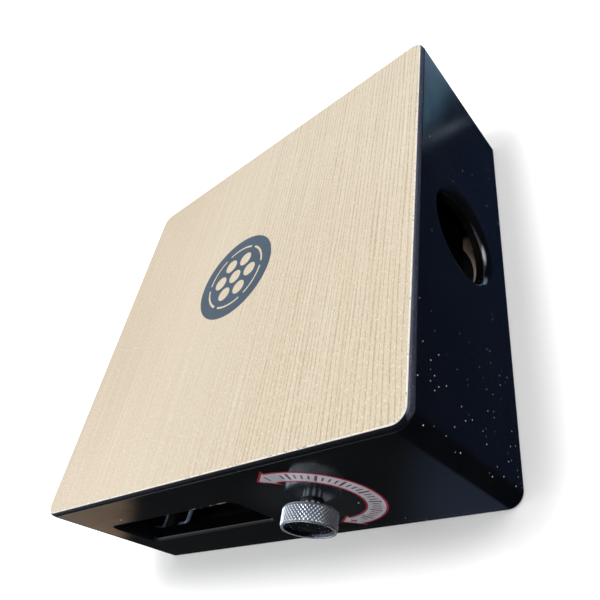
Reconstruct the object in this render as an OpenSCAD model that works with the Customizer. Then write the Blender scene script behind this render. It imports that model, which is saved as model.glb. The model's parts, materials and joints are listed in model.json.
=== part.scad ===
// Compact box drum with a snare knob.
// A shallow box of four mitred boards, a back panel on four battens and a thin veneered playing plate.
// A knurled knob on one side turns a cam disc inside the box. A pin in the disc's spiral groove swings
// a bar of snare strands up to the plate and back down.
// Frame: origin at the middle of the back panel's outer face, +Z towards the playing face,
// +X towards the round port, -Y towards the knob and the long slot. All lengths are in millimetres.

/* [Box] */
// Width across the knob side
body_width = 300; // [290:1:320]
// Height from the knob side to the far side
body_height = 297; // [290:1:320]
// Depth from the back panel to the playing face
body_depth = 105; // [103:0.5:110]
// Radius of the four upright corners
corner_radius = 9.5; // [5:0.5:12]
// Thickness of the four side boards
board_thickness = 9; // [8:0.5:9.5]
// Thickness of the back panel
back_thickness = 5; // [4:0.5:6]
// Radius rolled on the back panel's outer edge
back_edge_radius = 1.2; // [0.6:0.2:3.6]
// Side of the square glue blocks in the inner corners
corner_block_size = 12; // [8:1:14]
// Side of the square battens that hold the back panel
batten_size = 12; // [8:1:14]

/* [Playing plate] */
// Thickness of the plywood under the veneer
plate_thickness = 3; // [3:0.2:4]
// Radius rolled on the plywood's outer edge
plate_edge_radius = 1.6; // [0.8:0.2:2]
// Step from the side boards in to the plywood's edge
plate_step = 0.3; // [0.2:0.1:0.5]
// Thickness of the face veneer
veneer_thickness = 0.6; // [0.4:0.1:0.8]
// Margin from the side boards in to the veneer's edge
veneer_margin = 1.6; // [1.5:0.1:3]
// Radius of the round badge
badge_radius = 35; // [25:1:40]
// Thickness of the printed badge and of the arc label
print_thickness = 0.12; // [0.1:0.02:0.2]

/* [Port and slot] */
// Radius of the round port in the +X board
port_radius = 29.5; // [20:0.5:34]
// Radius rolled on the outer lip of the port
port_lip = 5.2; // [1:0.1:6]
// Length of the slot in the knob side
slot_length = 126; // [90:1:126]
// Height of the slot
slot_height = 34; // [24:1:34]
// Corner radius of the slot
slot_corner = 5; // [3:0.5:8]
// Radius rolled on the outer lip of the slot
slot_lip = 2.4; // [1:0.1:2.5]
// Middle of the slot, along X
slot_x = -57; // [-60:0.5:-54]

/* [Knob and spindle] */
// Position of the spindle along X
spindle_x = 52; // [48:0.5:56]
// Radius of the spindle
spindle_radius = 4; // [3.5:0.1:4.2]
// Radial running clearance of the shafts in their holes
shaft_clearance = 0.05; // [0.02:0.01:0.1]
// Radius of the knurled knob head
knob_radius = 15.5; // [13:0.5:18]
// Length of the knurled knob head
knob_length = 10.4; // [9:0.2:12]
// Radius of the knob's polished neck
knob_hub_radius = 5.5; // [5:0.5:11]
// Length of the knob's polished neck
knob_hub_length = 4.1; // [3:0.1:5]
// Chamfer on both rims of the knob head
knob_chamfer = 0.5; // [0.4:0.1:1.2]
// Width of the flat rim round the knob's dished end
knob_rim = 1; // [1:0.1:2.5]
// Depth of the dish in the knob's end
knob_dish = 1.8; // [1:0.1:2]
// Thickness of the washer behind the knob
washer_thickness = 0.8; // [0.8:0.1:1.4]
// Middle radius of the arc label
arc_radius = 35.3; // [34:0.1:37]
// Half width of the arc label's band
arc_half_width = 6.2; // [5:0.1:7]
// Half width of the arc label's arrow heads
arrow_half_width = 9.4; // [8:0.1:10]
// Angle from the arc label's middle to each arrow tip
arrow_tip_angle = 103; // [95:1:110]

/* [Snare mechanism] */
// Swing of the snare bar from clear of the plate to touching it
swing_angle = 4; // [3:0.25:4.5]
// Radius of the bent steel rods
rod_radius = 1.5; // [1.2:0.1:1.6]
// Centre-line radius of the bends in the rods
rod_bend = 3.5; // [3:0.5:5]
// Distance of the rods' pivot line above the back panel's outer face
pivot_z = 29; // [28:0.5:29]
// Distance of the rods' pivot line in from the knob side's outer face
pivot_inset = 12; // [12:0.5:13]
// Length of the rods from the pivot line to the snare bar
rod_reach = 56.5; // [52:0.5:60]
// Positions of the inner pair of rods either side of the middle
inner_rod_x = 94.5; // [92:0.5:96]
// Positions of the outer pair of rods either side of the middle
outer_rod_x = 122.5; // [121:0.5:123]
// Thickness of the snare bar
bar_thickness = 10; // [8:0.5:11]
// Height of the snare bar
bar_height = 34; // [32:0.5:35]
// Number of strands in each snare
strand_count = 6; // [4:1:7]
// Distance between neighbouring strands
strand_pitch = 5; // [4:0.25:5]
// Radius of one coiled strand
strand_radius = 1; // [0.8:0.1:1.2]
// Free length of the strands
strand_length = 92; // [60:1:110]

/* [Hidden] */
$fn = 96;

// Colours of the finishes
lacquer = [0.03, 0.03, 0.035];
black_paint = [0.08, 0.08, 0.08];
black_edge = [0.05, 0.05, 0.06];
raw_wood = [0.72, 0.58, 0.4];
ash_veneer = [0.87, 0.8, 0.68];
badge_ink = [0.37, 0.43, 0.51];
silver_film = [0.62, 0.62, 0.66];
knurled_steel = [0.75, 0.77, 0.8];
bright_steel = [0.7, 0.72, 0.75];
dark_steel = [0.25, 0.25, 0.27];
brass = [0.78, 0.62, 0.3];
black_nylon = [0.04, 0.04, 0.04];
white_nylon = [0.93, 0.92, 0.88];

// Overlap that lets a cutter pass cleanly through a face
cut = 1;
// Gap kept between bodies that move past each other
running_gap = 0.4;
half_width = body_width / 2;
half_height = body_height / 2;
inner_x = half_width - board_thickness;
inner_y = half_height - board_thickness;
middle_z = body_depth / 2;
plate_z = body_depth - veneer_thickness - plate_thickness;
pivot_y = -half_height + pivot_inset;
bar_y = pivot_y + rod_reach;
batten_top = back_thickness + batten_size;

// Snare stack under the plate, with the bar swung up
strand_z = plate_z - running_gap - strand_radius;
snare_plate_thickness = 1;
snare_plate_depth = 14;
snare_plate_width = 42;
snare_screw_spread = 17;
snare_x = 58;
bar_top_z = strand_z - strand_radius - snare_plate_thickness;
bar_overhang = 7;
bar_end = outer_rod_x + bar_overhang;
nose_radius = bar_thickness / 2;
nose_z = bar_top_z - bar_height + nose_radius;
rod_hole_depth = 12;

// Cam disc and the follower pin that rides in its groove
disc_bar_gap = 4;
disc_y = bar_y - nose_radius - disc_bar_gap;
disc_thickness = 5;
disc_wall = 2.8;
pin_radius = 1.5;
groove_half_width = pin_radius + running_gap;
pin_overhang = 2;
pin_reach = disc_y - disc_thickness / 2 - pivot_y;
cam_turn = 180;
cam_stop = 2;
cam_hub_radius = 8;
cam_hub_length = 6;
set_screw_radius = 1.5;
set_screw_inset = 0.2;
set_screw_floor = 2;
set_screw_socket = 0.9;

// Pivot blocks
rod_xs = [-outer_rod_x, -inner_rod_x, inner_rod_x, outer_rod_x];
pivot_block_width = 8;
pivot_block_depth = 10;
pivot_block_rise = 6;
pivot_block_top = pivot_z + pivot_block_rise;
pivot_face_offset = 9;
hook_length = 14;
pivot_hole_depth = 6;
pivot_mouth_radius = 2.6;
pivot_mouth_depth = 1;

// Distance of the follower pin from the spindle when the bar has swung down by an angle
function pin_distance(a) = pivot_z + (nose_z - pivot_z) * cos(a) - pin_reach * sin(a) - middle_z;
groove_low = pin_distance(swing_angle);
groove_high = pin_distance(0);
disc_radius = groove_high + groove_half_width + disc_wall;

// Spindle stack along Y
washer_gap = 0.3;
washer_radius = 6.4;
washer_y = -half_height - washer_gap;
hub_y = washer_y - washer_thickness;
head_y = hub_y - knob_hub_length;
knob_end_y = head_y - knob_length;
knob_floor = 1;
knob_bore_depth = knob_hub_length + knob_length - knob_dish - knob_floor;
bushing_radius = 6;
bushing_flange_radius = 10;
bushing_flange = 2;
ring_radius = 7;
ring_thickness = 1;
ring_y = -inner_y + bushing_flange + washer_gap;
bearing_depth = 12;
bearing_width = 24;
bearing_rise = 13;
bearing_bar_gap = 7;
bearing_top = middle_z + bearing_rise;
bearing_y = bar_y + nose_radius + bearing_bar_gap + bearing_depth / 2;
spindle_end_y = bearing_y + bearing_depth / 2;

// Wood screws that hold the bearing block to the back panel
wood_screw_radius = 1.8;
wood_screw_head = 3.6;
wood_screw_head_depth = 2.4;
wood_screw_rim = 0.2;
wood_screw_slot = 0.8;
wood_screw_length = 25;
wood_screw_spread = 6;

// Small screws that hold the snare plates
small_screw_radius = 1.2;
small_screw_head = 2.4;
small_screw_head_depth = 1.4;
small_screw_length = 12;
driver_radius = 1;
driver_depth = 0.8;

// Strip of solder that joins the fixed ends of one set of strands
solder_width = 4;
solder_thickness = 1.8;

// Height above the back panel where the two knob-side corner blocks start
short_block_z = 42;

// Pattern of the badge, as shares of its radius
badge_ring = 0.76;
badge_ring_width = 0.05;
badge_ring_break = 0.12;
badge_dot = 0.16;
badge_dot_circle = 0.42;

// Angle taken up by each arrow head of the arc label
arrow_head_angle = 19;

// Rectangle with round corners, centred on the origin
module rounded_outline(w, h, r) {
    square([w - 2 * r, h], center = true);
    square([w, h - 2 * r], center = true);
    for (sx = [-1, 1], sy = [-1, 1])
        translate([sx * (w / 2 - r), sy * (h / 2 - r)])
            circle(r = r);
}

// Section of the material taken away by rolling an edge: x outwards from the body, y down from its face
module outer_roll_section(r) {
    difference() {
        translate([-r, -cut])
            square([r + cut, r + cut]);
        translate([-r, r])
            circle(r = r);
    }
}

// Ring of material taken off the top edge (z = 0) of a slab with round corners
module outer_roll(w, h, corner, r) {
    for (side = [0, 1, 2, 3]) {
        across = side % 2 == 0 ? w : h;
        along = side % 2 == 0 ? h : w;
        rotate([0, 0, 90 * side]) {
            translate([across / 2, along / 2 - corner, 0])
                rotate([90, 0, 0])
                    linear_extrude(along - 2 * corner)
                        mirror([0, 1, 0])
                            outer_roll_section(r);
            translate([across / 2 - corner, along / 2 - corner, 0])
                rotate_extrude(angle = 90)
                    translate([corner, 0])
                        mirror([0, 1, 0])
                            outer_roll_section(r);
        }
    }
}

// Section of the material taken away by rolling the lip of a hole: x into the board, y below its face
module lip_section(r) {
    difference() {
        translate([-cut, -cut])
            square([r + cut, r + cut]);
        translate([r, r])
            circle(r = r);
    }
}

// Four-sided board blank with mitred ends, running from the back panel to the playing plate
module board_blank(across, along) {
    translate([0, 0, back_thickness])
        linear_extrude(plate_z - back_thickness)
            intersection() {
                rounded_outline(body_width, body_height, corner_radius);
                rotate([0, 0, along])
                    polygon([
                        [across[0], -across[1]],
                        [across[0], across[1]],
                        [across[0] - board_thickness, across[1] - board_thickness],
                        [across[0] - board_thickness, -across[1] + board_thickness]
                    ]);
            }
}

// Axis frames: children are drawn along +Z and laid along an axis of the box
module along_x(p) {
    translate(p)
        rotate([0, 90, 0])
            children();
}

module along_y(p) {
    translate(p)
        rotate([-90, 0, 0])
            children();
}

// Children are drawn with the bar swung up and are laid back to the rest pose, clear of the plate
module swung_down() {
    translate([0, pivot_y, pivot_z])
        rotate([-swing_angle, 0, 0])
            translate([0, -pivot_y, -pivot_z])
                children();
}

module face_veneer() {
    color(ash_veneer)
        translate([0, 0, plate_z + plate_thickness])
            linear_extrude(veneer_thickness)
                rounded_outline(
                    body_width - 2 * veneer_margin,
                    body_height - 2 * veneer_margin,
                    corner_radius - veneer_margin
                );
}

module playing_plate() {
    w = body_width - 2 * plate_step;
    h = body_height - 2 * plate_step;
    r = corner_radius - plate_step;
    color(black_edge)
        difference() {
            translate([0, 0, plate_z])
                linear_extrude(plate_thickness)
                    rounded_outline(w, h, r);
            translate([0, 0, plate_z + plate_thickness])
                outer_roll(w, h, r, plate_edge_radius);
        }
}

module side_far() {
    color(lacquer)
        board_blank([half_height, half_width], 90);
}

module side_left() {
    color(lacquer)
        board_blank([half_width, half_height], 180);
}

// Board with the round port and its rolled lip
module side_port() {
    color(lacquer)
        difference() {
            board_blank([half_width, half_height], 0);
            along_x([inner_x - cut, 0, middle_z])
                cylinder(r = port_radius, h = board_thickness + 2 * cut);
            along_x([half_width, 0, middle_z])
                rotate_extrude()
                    translate([port_radius, 0])
                        mirror([0, 1, 0])
                            lip_section(port_lip);
        }
}

// Rolled lip of the slot, with the board's outer face at z = 0 and the slot's length along x
module slot_roll() {
    for (side = [0, 1, 2, 3]) {
        across = side % 2 == 0 ? slot_length : slot_height;
        along = side % 2 == 0 ? slot_height : slot_length;
        rotate([0, 0, 90 * side]) {
            translate([across / 2, along / 2 - slot_corner, 0])
                rotate([90, 0, 0])
                    linear_extrude(along - 2 * slot_corner)
                        mirror([0, 1, 0])
                            lip_section(slot_lip);
            translate([across / 2 - slot_corner, along / 2 - slot_corner, 0])
                rotate_extrude(angle = 90)
                    translate([slot_corner, 0])
                        mirror([0, 1, 0])
                            lip_section(slot_lip);
        }
    }
}

// Board with the long slot and the hole for the spindle bushing
module side_knob() {
    color(lacquer)
        difference() {
            board_blank([half_height, half_width], -90);
            translate([slot_x, -half_height, middle_z])
                rotate([90, 0, 0]) {
                    translate([0, 0, -board_thickness - cut])
                        linear_extrude(board_thickness + 2 * cut)
                            rounded_outline(slot_length, slot_height, slot_corner);
                    slot_roll();
                }
            along_y([spindle_x, -half_height - cut, middle_z])
                cylinder(r = bushing_radius, h = board_thickness + 2 * cut);
        }
}

module back_panel() {
    color(lacquer)
        difference() {
            linear_extrude(back_thickness)
                rounded_outline(body_width, body_height, corner_radius);
            mirror([0, 0, 1])
                outer_roll(body_width, body_height, corner_radius, back_edge_radius);
            for (s = [-1, 1])
                translate([spindle_x + s * wood_screw_spread, bearing_y, 0])
                    wood_screw_shape(cut);
        }
}

// Batten along one inner edge of the back panel, centred on (x, y)
module batten(x, y, length_x, length_y) {
    translate([x - length_x / 2, y - length_y / 2, back_thickness])
        cube([length_x, length_y, batten_size]);
}

module batten_far() {
    color(black_paint)
        batten(0, inner_y - batten_size / 2, 2 * inner_x, batten_size);
}

module batten_knob() {
    color(black_paint)
        batten(0, -inner_y + batten_size / 2, 2 * inner_x, batten_size);
}

module batten_left() {
    color(black_paint)
        batten(-inner_x + batten_size / 2, 0, batten_size, 2 * (inner_y - batten_size));
}

module batten_port() {
    color(raw_wood)
        batten(inner_x - batten_size / 2, 0, batten_size, 2 * (inner_y - batten_size));
}

// Glue block in one inner corner
module corner_block(sx, sy, bottom) {
    color(black_paint)
        translate([
            sx * (inner_x - corner_block_size / 2),
            sy * (inner_y - corner_block_size / 2),
            bottom
        ])
            linear_extrude(plate_z - bottom)
                square(corner_block_size, center = true);
}

module corner_block_1() {
    corner_block(-1, -1, short_block_z);
}

module corner_block_2() {
    corner_block(1, -1, short_block_z);
}

module corner_block_3() {
    corner_block(1, 1, batten_top);
}

module corner_block_4() {
    corner_block(-1, 1, batten_top);
}

// Round badge: a disc with a broken ring and seven dots left open
module badge_print() {
    ring = badge_radius * badge_ring;
    dot = badge_radius * badge_dot;
    color(badge_ink)
        translate([0, 0, body_depth])
            linear_extrude(print_thickness)
                difference() {
                    circle(r = badge_radius);
                    difference() {
                        circle(r = ring);
                        circle(r = ring - badge_radius * badge_ring_width);
                        for (a = [0:60:120])
                            rotate(a)
                                square([2 * badge_radius, badge_radius * badge_ring_break], center = true);
                    }
                    circle(r = dot);
                    for (a = [0:60:300])
                        rotate(a)
                            translate([badge_radius * badge_dot_circle, 0])
                                circle(r = dot);
                }
}

// Point at radius r and angle a round the spindle
function polar(r, a) = r * [cos(a), sin(a)];

// Two-headed arc arrow on the +X half of a circle round the spindle
module arc_outline() {
    barb_angle = arrow_tip_angle - arrow_head_angle;
    steps = 24;
    sweep = [for (i = [-steps:steps]) barb_angle * i / steps];
    polygon([
        for (a = sweep) polar(arc_radius + arc_half_width, a),
        polar(arc_radius + arrow_half_width, barb_angle),
        polar(arc_radius, arrow_tip_angle),
        polar(arc_radius - arrow_half_width, barb_angle),
        for (a = sweep) polar(arc_radius - arc_half_width, -a),
        polar(arc_radius - arrow_half_width, -barb_angle),
        polar(arc_radius, -arrow_tip_angle),
        polar(arc_radius + arrow_half_width, -barb_angle)
    ]);
}

module arc_label() {
    color(silver_film)
        translate([spindle_x, -half_height, middle_z])
            rotate([90, 0, 0])
                linear_extrude(print_thickness)
                    arc_outline();
}

// Knob turned from one bar: knurled head with a dished end, polished neck, blind bore for the spindle
module knob() {
    dish_radius = knob_radius - knob_chamfer - knob_rim;
    floor_radius = dish_radius - knob_dish;
    color(knurled_steel)
        translate([spindle_x, knob_end_y, middle_z])
            rotate([-90, 0, 0])
                rotate_extrude()
                    polygon([
                        [0, knob_dish],
                        [floor_radius, knob_dish],
                        [dish_radius, 0],
                        [knob_radius - knob_chamfer, 0],
                        [knob_radius, knob_chamfer],
                        [knob_radius, knob_length - knob_chamfer],
                        [knob_radius - knob_chamfer, knob_length],
                        [knob_hub_radius, knob_length],
                        [knob_hub_radius, knob_length + knob_hub_length],
                        [spindle_radius, knob_length + knob_hub_length],
                        [spindle_radius, knob_length + knob_hub_length - knob_bore_depth],
                        [0, knob_length + knob_hub_length - knob_bore_depth]
                    ]);
}

// Flat ring round the spindle, from y0 towards the inside of the box
module spindle_ring(y0, outer, inner, thickness) {
    along_y([spindle_x, y0, middle_z])
        difference() {
            cylinder(r = outer, h = thickness);
            translate([0, 0, -cut])
                cylinder(r = inner, h = thickness + 2 * cut);
        }
}

module knob_washer() {
    color(black_nylon)
        spindle_ring(hub_y, washer_radius, spindle_radius, washer_thickness);
}

module spindle() {
    start = hub_y - knob_bore_depth;
    color(bright_steel)
        along_y([spindle_x, start, middle_z])
            cylinder(r = spindle_radius, h = spindle_end_y - start);
}

module spindle_bushing() {
    color(brass)
        along_y([spindle_x, -half_height, middle_z])
            difference() {
                union() {
                    cylinder(r = bushing_radius, h = board_thickness);
                    translate([0, 0, board_thickness])
                        cylinder(r = bushing_flange_radius, h = bushing_flange);
                }
                translate([0, 0, -cut])
                    cylinder(
                        r = spindle_radius + shaft_clearance,
                        h = board_thickness + bushing_flange + 2 * cut
                    );
            }
}

module retaining_ring() {
    color(bright_steel)
        spindle_ring(ring_y, ring_radius, spindle_radius, ring_thickness);
}

// Groove centre line at an angle from the top of the disc, rising evenly over the knob's turn
function groove_point(a, offset) =
    (groove_low + (groove_high - groove_low) * a / cam_turn + offset) * [-sin(a), cos(a)];

// Spiral groove, a little longer than the knob's turn, with round ends that stop the pin
module groove_outline() {
    first = -cam_stop;
    last = cam_turn + cam_stop;
    steps = 40;
    step = (last - first) / steps;
    polygon([
        for (a = [first:step:last]) groove_point(a, groove_half_width),
        for (a = [last:-step:first]) groove_point(a, -groove_half_width)
    ]);
    for (a = [first, last])
        translate(groove_point(a, 0))
            circle(r = groove_half_width);
}

// Grooved cam disc with its hub towards the knob
module lift_cam() {
    color(white_nylon)
        translate([spindle_x, disc_y, middle_z])
            rotate([90, 0, 0])
                difference() {
                    union() {
                        cylinder(r = disc_radius, h = disc_thickness);
                        cylinder(r = cam_hub_radius, h = disc_thickness + cam_hub_length);
                    }
                    translate([0, 0, -cut]) {
                        cylinder(r = spindle_radius, h = disc_thickness + cam_hub_length + 2 * cut);
                        linear_extrude(disc_thickness + 2 * cut)
                            groove_outline();
                    }
                    along_x([0, 0, disc_thickness + cam_hub_length / 2])
                        cylinder(r = set_screw_radius, h = cam_hub_radius + cut);
                }
}

// Hexagon-socket set screw in the cam's hub, pressed on to the spindle
module cam_set_screw() {
    color(dark_steel)
        along_x([
            spindle_x + spindle_radius,
            disc_y - disc_thickness - cam_hub_length / 2,
            middle_z
        ])
            difference() {
                cylinder(r = set_screw_radius, h = cam_hub_radius - spindle_radius - set_screw_inset);
                translate([0, 0, set_screw_floor])
                    cylinder(r = set_screw_socket, h = cam_hub_radius, $fn = 6);
            }
}

// Steel pin fixed through the bar's nose, reaching through the cam disc's groove
module follower_pin() {
    start = disc_y - disc_thickness - pin_overhang;
    color(bright_steel)
        swung_down()
            along_y([spindle_x, start, nose_z])
                cylinder(r = pin_radius, h = bar_y + nose_radius - start);
}

// Block that carries the inner end of the spindle
module bearing_block() {
    color(black_paint)
        difference() {
            translate([
                spindle_x - bearing_width / 2,
                bearing_y - bearing_depth / 2,
                back_thickness
            ])
                cube([bearing_width, bearing_depth, bearing_top - back_thickness]);
            along_y([spindle_x, bearing_y - bearing_depth / 2 - cut, middle_z])
                cylinder(r = spindle_radius + shaft_clearance, h = bearing_depth + 2 * cut);
            for (s = [-1, 1])
                translate([spindle_x + s * wood_screw_spread, bearing_y, 0])
                    wood_screw_shape(0);
        }
}

// Countersunk wood screw with its head at z = 0, continued below its head by the given length
module wood_screw_shape(below) {
    cylinder(r = wood_screw_radius, h = wood_screw_length);
    cylinder(r1 = wood_screw_head, r2 = wood_screw_radius, h = wood_screw_head_depth);
    translate([0, 0, -below])
        cylinder(r = wood_screw_head, h = below + wood_screw_rim);
}

module bearing_screws() {
    color(dark_steel)
        for (s = [-1, 1])
            translate([spindle_x + s * wood_screw_spread, bearing_y, 0])
                difference() {
                    wood_screw_shape(0);
                    for (a = [0, 90])
                        rotate(a)
                            cube([wood_screw_slot, wood_screw_head, wood_screw_head_depth], center = true);
                }
}

// Block on the knob side's batten with a blind hole, wider at its mouth, for one rod's hooked end
module pivot_block(rod_x) {
    face_x = rod_x - pivot_face_offset;
    color(black_paint)
        difference() {
            translate([face_x - pivot_block_width, -inner_y, batten_top])
                cube([pivot_block_width, pivot_block_depth, pivot_block_top - batten_top]);
            along_x([face_x - pivot_hole_depth, pivot_y, pivot_z])
                cylinder(r = rod_radius + shaft_clearance, h = pivot_hole_depth + cut);
            along_x([face_x - pivot_mouth_depth, pivot_y, pivot_z])
                cylinder(r = pivot_mouth_radius, h = pivot_mouth_depth + cut);
        }
}

module pivot_block_1() {
    pivot_block(rod_xs[0]);
}

module pivot_block_2() {
    pivot_block(rod_xs[1]);
}

module pivot_block_3() {
    pivot_block(rod_xs[2]);
}

module pivot_block_4() {
    pivot_block(rod_xs[3]);
}

// Bent steel rod: hook along -X into its pivot block, leg along +Y, riser along +Z into the snare bar
module swing_rod(rod_x) {
    riser_top = bar_top_z - bar_height + rod_hole_depth;
    color(bright_steel)
        swung_down() {
            along_x([rod_x - hook_length, pivot_y, pivot_z])
                cylinder(r = rod_radius, h = hook_length - rod_bend);
            translate([rod_x - rod_bend, pivot_y + rod_bend, pivot_z])
                rotate([0, 0, -90])
                    rotate_extrude(angle = 90)
                        translate([rod_bend, 0])
                            circle(r = rod_radius);
            along_y([rod_x, pivot_y + rod_bend, pivot_z])
                cylinder(r = rod_radius, h = rod_reach - 2 * rod_bend);
            translate([rod_x, bar_y - rod_bend, pivot_z + rod_bend])
                rotate([90, 0, 90])
                    rotate([0, 0, -90])
                        rotate_extrude(angle = 90)
                            translate([rod_bend, 0])
                                circle(r = rod_radius);
            translate([rod_x, bar_y, pivot_z + rod_bend])
                cylinder(r = rod_radius, h = riser_top - pivot_z - rod_bend);
        }
}

module swing_rod_1() {
    swing_rod(rod_xs[0]);
}

module swing_rod_2() {
    swing_rod(rod_xs[1]);
}

module swing_rod_3() {
    swing_rod(rod_xs[2]);
}

module swing_rod_4() {
    swing_rod(rod_xs[3]);
}

// Wooden bar with a rounded lower nose that holds the follower pin
module snare_bar() {
    color(raw_wood)
        swung_down()
            difference() {
                along_x([-bar_end, bar_y, 0])
                    rotate([0, 0, 90])
                        linear_extrude(2 * bar_end) {
                            translate([-bar_thickness / 2, nose_z])
                                square([bar_thickness, bar_top_z - nose_z]);
                            translate([0, nose_z])
                                circle(r = nose_radius);
                        }
                for (x = rod_xs)
                    translate([x, bar_y, bar_top_z - bar_height - cut])
                        cylinder(r = rod_radius, h = rod_hole_depth + cut);
                along_y([spindle_x, bar_y - nose_radius - cut, nose_z])
                    cylinder(r = pin_radius, h = bar_thickness + 2 * cut);
                for (side = [-1, 1], s = [-1, 1])
                    translate([side * snare_x + s * snare_screw_spread, bar_y, bar_top_z])
                        mirror([0, 0, 1])
                            cylinder(r = small_screw_radius, h = small_screw_length);
            }
}

// Brass plate that clamps one set of strands to the top of the bar
module snare_plate(side) {
    color(brass)
        swung_down()
            difference() {
                translate([
                    side * snare_x - snare_plate_width / 2,
                    bar_y - bar_thickness / 2,
                    bar_top_z
                ])
                    cube([snare_plate_width, snare_plate_depth, snare_plate_thickness]);
                for (s = [-1, 1])
                    translate([side * snare_x + s * snare_screw_spread, bar_y, bar_top_z - cut])
                        cylinder(r = small_screw_radius, h = snare_plate_thickness + 2 * cut);
            }
}

module snare_plate_left() {
    snare_plate(-1);
}

module snare_plate_right() {
    snare_plate(1);
}

// One set of coiled strands with the solder strip that joins their fixed ends
module snare_strands(side) {
    span = (strand_count - 1) * strand_pitch;
    color(bright_steel)
        swung_down() {
            for (i = [0:strand_count - 1])
                along_y([side * snare_x - span / 2 + i * strand_pitch, bar_y, strand_z])
                    cylinder(r = strand_radius, h = strand_length);
            translate([
                side * snare_x - span / 2 - strand_radius,
                bar_y - strand_radius,
                strand_z - strand_radius
            ])
                cube([span + 2 * strand_radius, solder_width, solder_thickness]);
        }
}

module snare_strands_left() {
    snare_strands(-1);
}

module snare_strands_right() {
    snare_strands(1);
}

// Four small pan-head screws that hold the snare plates to the bar
module snare_screws() {
    color(bright_steel)
        swung_down()
            for (side = [-1, 1], s = [-1, 1])
                translate([
                    side * snare_x + s * snare_screw_spread,
                    bar_y,
                    bar_top_z + snare_plate_thickness
                ])
                    difference() {
                        union() {
                            cylinder(r = small_screw_head, h = small_screw_head_depth);
                            translate([0, 0, -small_screw_length])
                                cylinder(r = small_screw_radius, h = small_screw_length);
                        }
                        translate([0, 0, small_screw_head_depth - driver_depth])
                            cylinder(r = driver_radius, h = cut, $fn = 6);
                    }
}

face_veneer();
playing_plate();
side_far();
side_left();
side_port();
side_knob();
back_panel();
batten_far();
batten_knob();
batten_left();
batten_port();
corner_block_1();
corner_block_2();
corner_block_3();
corner_block_4();
badge_print();
arc_label();
knob();
knob_washer();
spindle();
spindle_bushing();
retaining_ring();
lift_cam();
cam_set_screw();
bearing_block();
bearing_screws();
pivot_block_1();
pivot_block_2();
pivot_block_3();
pivot_block_4();
swing_rod_1();
swing_rod_2();
swing_rod_3();
swing_rod_4();
snare_bar();
snare_plate_left();
snare_plate_right();
snare_strands_left();
snare_strands_right();
snare_screws();
follower_pin();
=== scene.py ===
"""Looks of the compact box drum: finishes, knurled knob, arc label and coiled snares."""
import json
import math

import bpy
from mathutils import Matrix, Vector


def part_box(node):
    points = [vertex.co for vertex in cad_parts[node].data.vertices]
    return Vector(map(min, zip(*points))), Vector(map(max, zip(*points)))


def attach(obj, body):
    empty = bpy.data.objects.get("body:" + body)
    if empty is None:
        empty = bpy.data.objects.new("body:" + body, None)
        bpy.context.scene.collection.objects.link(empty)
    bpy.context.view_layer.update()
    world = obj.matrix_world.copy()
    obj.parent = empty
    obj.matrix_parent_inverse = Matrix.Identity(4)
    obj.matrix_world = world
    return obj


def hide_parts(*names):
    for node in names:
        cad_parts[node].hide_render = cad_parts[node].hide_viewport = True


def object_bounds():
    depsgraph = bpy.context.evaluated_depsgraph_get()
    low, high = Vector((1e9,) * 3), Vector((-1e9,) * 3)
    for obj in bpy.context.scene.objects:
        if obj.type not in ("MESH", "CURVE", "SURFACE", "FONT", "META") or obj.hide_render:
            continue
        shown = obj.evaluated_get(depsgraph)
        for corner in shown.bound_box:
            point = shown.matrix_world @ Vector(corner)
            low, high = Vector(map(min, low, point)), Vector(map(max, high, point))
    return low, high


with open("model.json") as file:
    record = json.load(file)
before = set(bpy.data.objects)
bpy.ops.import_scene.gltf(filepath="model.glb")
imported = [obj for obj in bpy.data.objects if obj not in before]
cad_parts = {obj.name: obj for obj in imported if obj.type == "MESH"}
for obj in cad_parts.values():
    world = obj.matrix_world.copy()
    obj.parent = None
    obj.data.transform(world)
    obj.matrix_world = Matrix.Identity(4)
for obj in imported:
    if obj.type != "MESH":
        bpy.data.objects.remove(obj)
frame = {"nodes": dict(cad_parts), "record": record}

MM = 0.001
FILL = 0.85  # strength of the even light from all round
VENEER_CORNER = 7.9 * MM
SLOT_HALF_WIDTH = 17 * MM
cad_low, cad_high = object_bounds()
nodes = frame["nodes"]
knob_low, knob_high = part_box("knob")
axis_point = (knob_low + knob_high) / 2
head_radius = (knob_high.x - knob_low.x) / 2
veneer_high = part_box("face_veneer")[1]
port_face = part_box("side_port")[1].x
knob_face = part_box("side_knob")[0].y
slot_top = axis_point.z + SLOT_HALF_WIDTH


# ---------------------------------------------------------------- shading helpers

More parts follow.
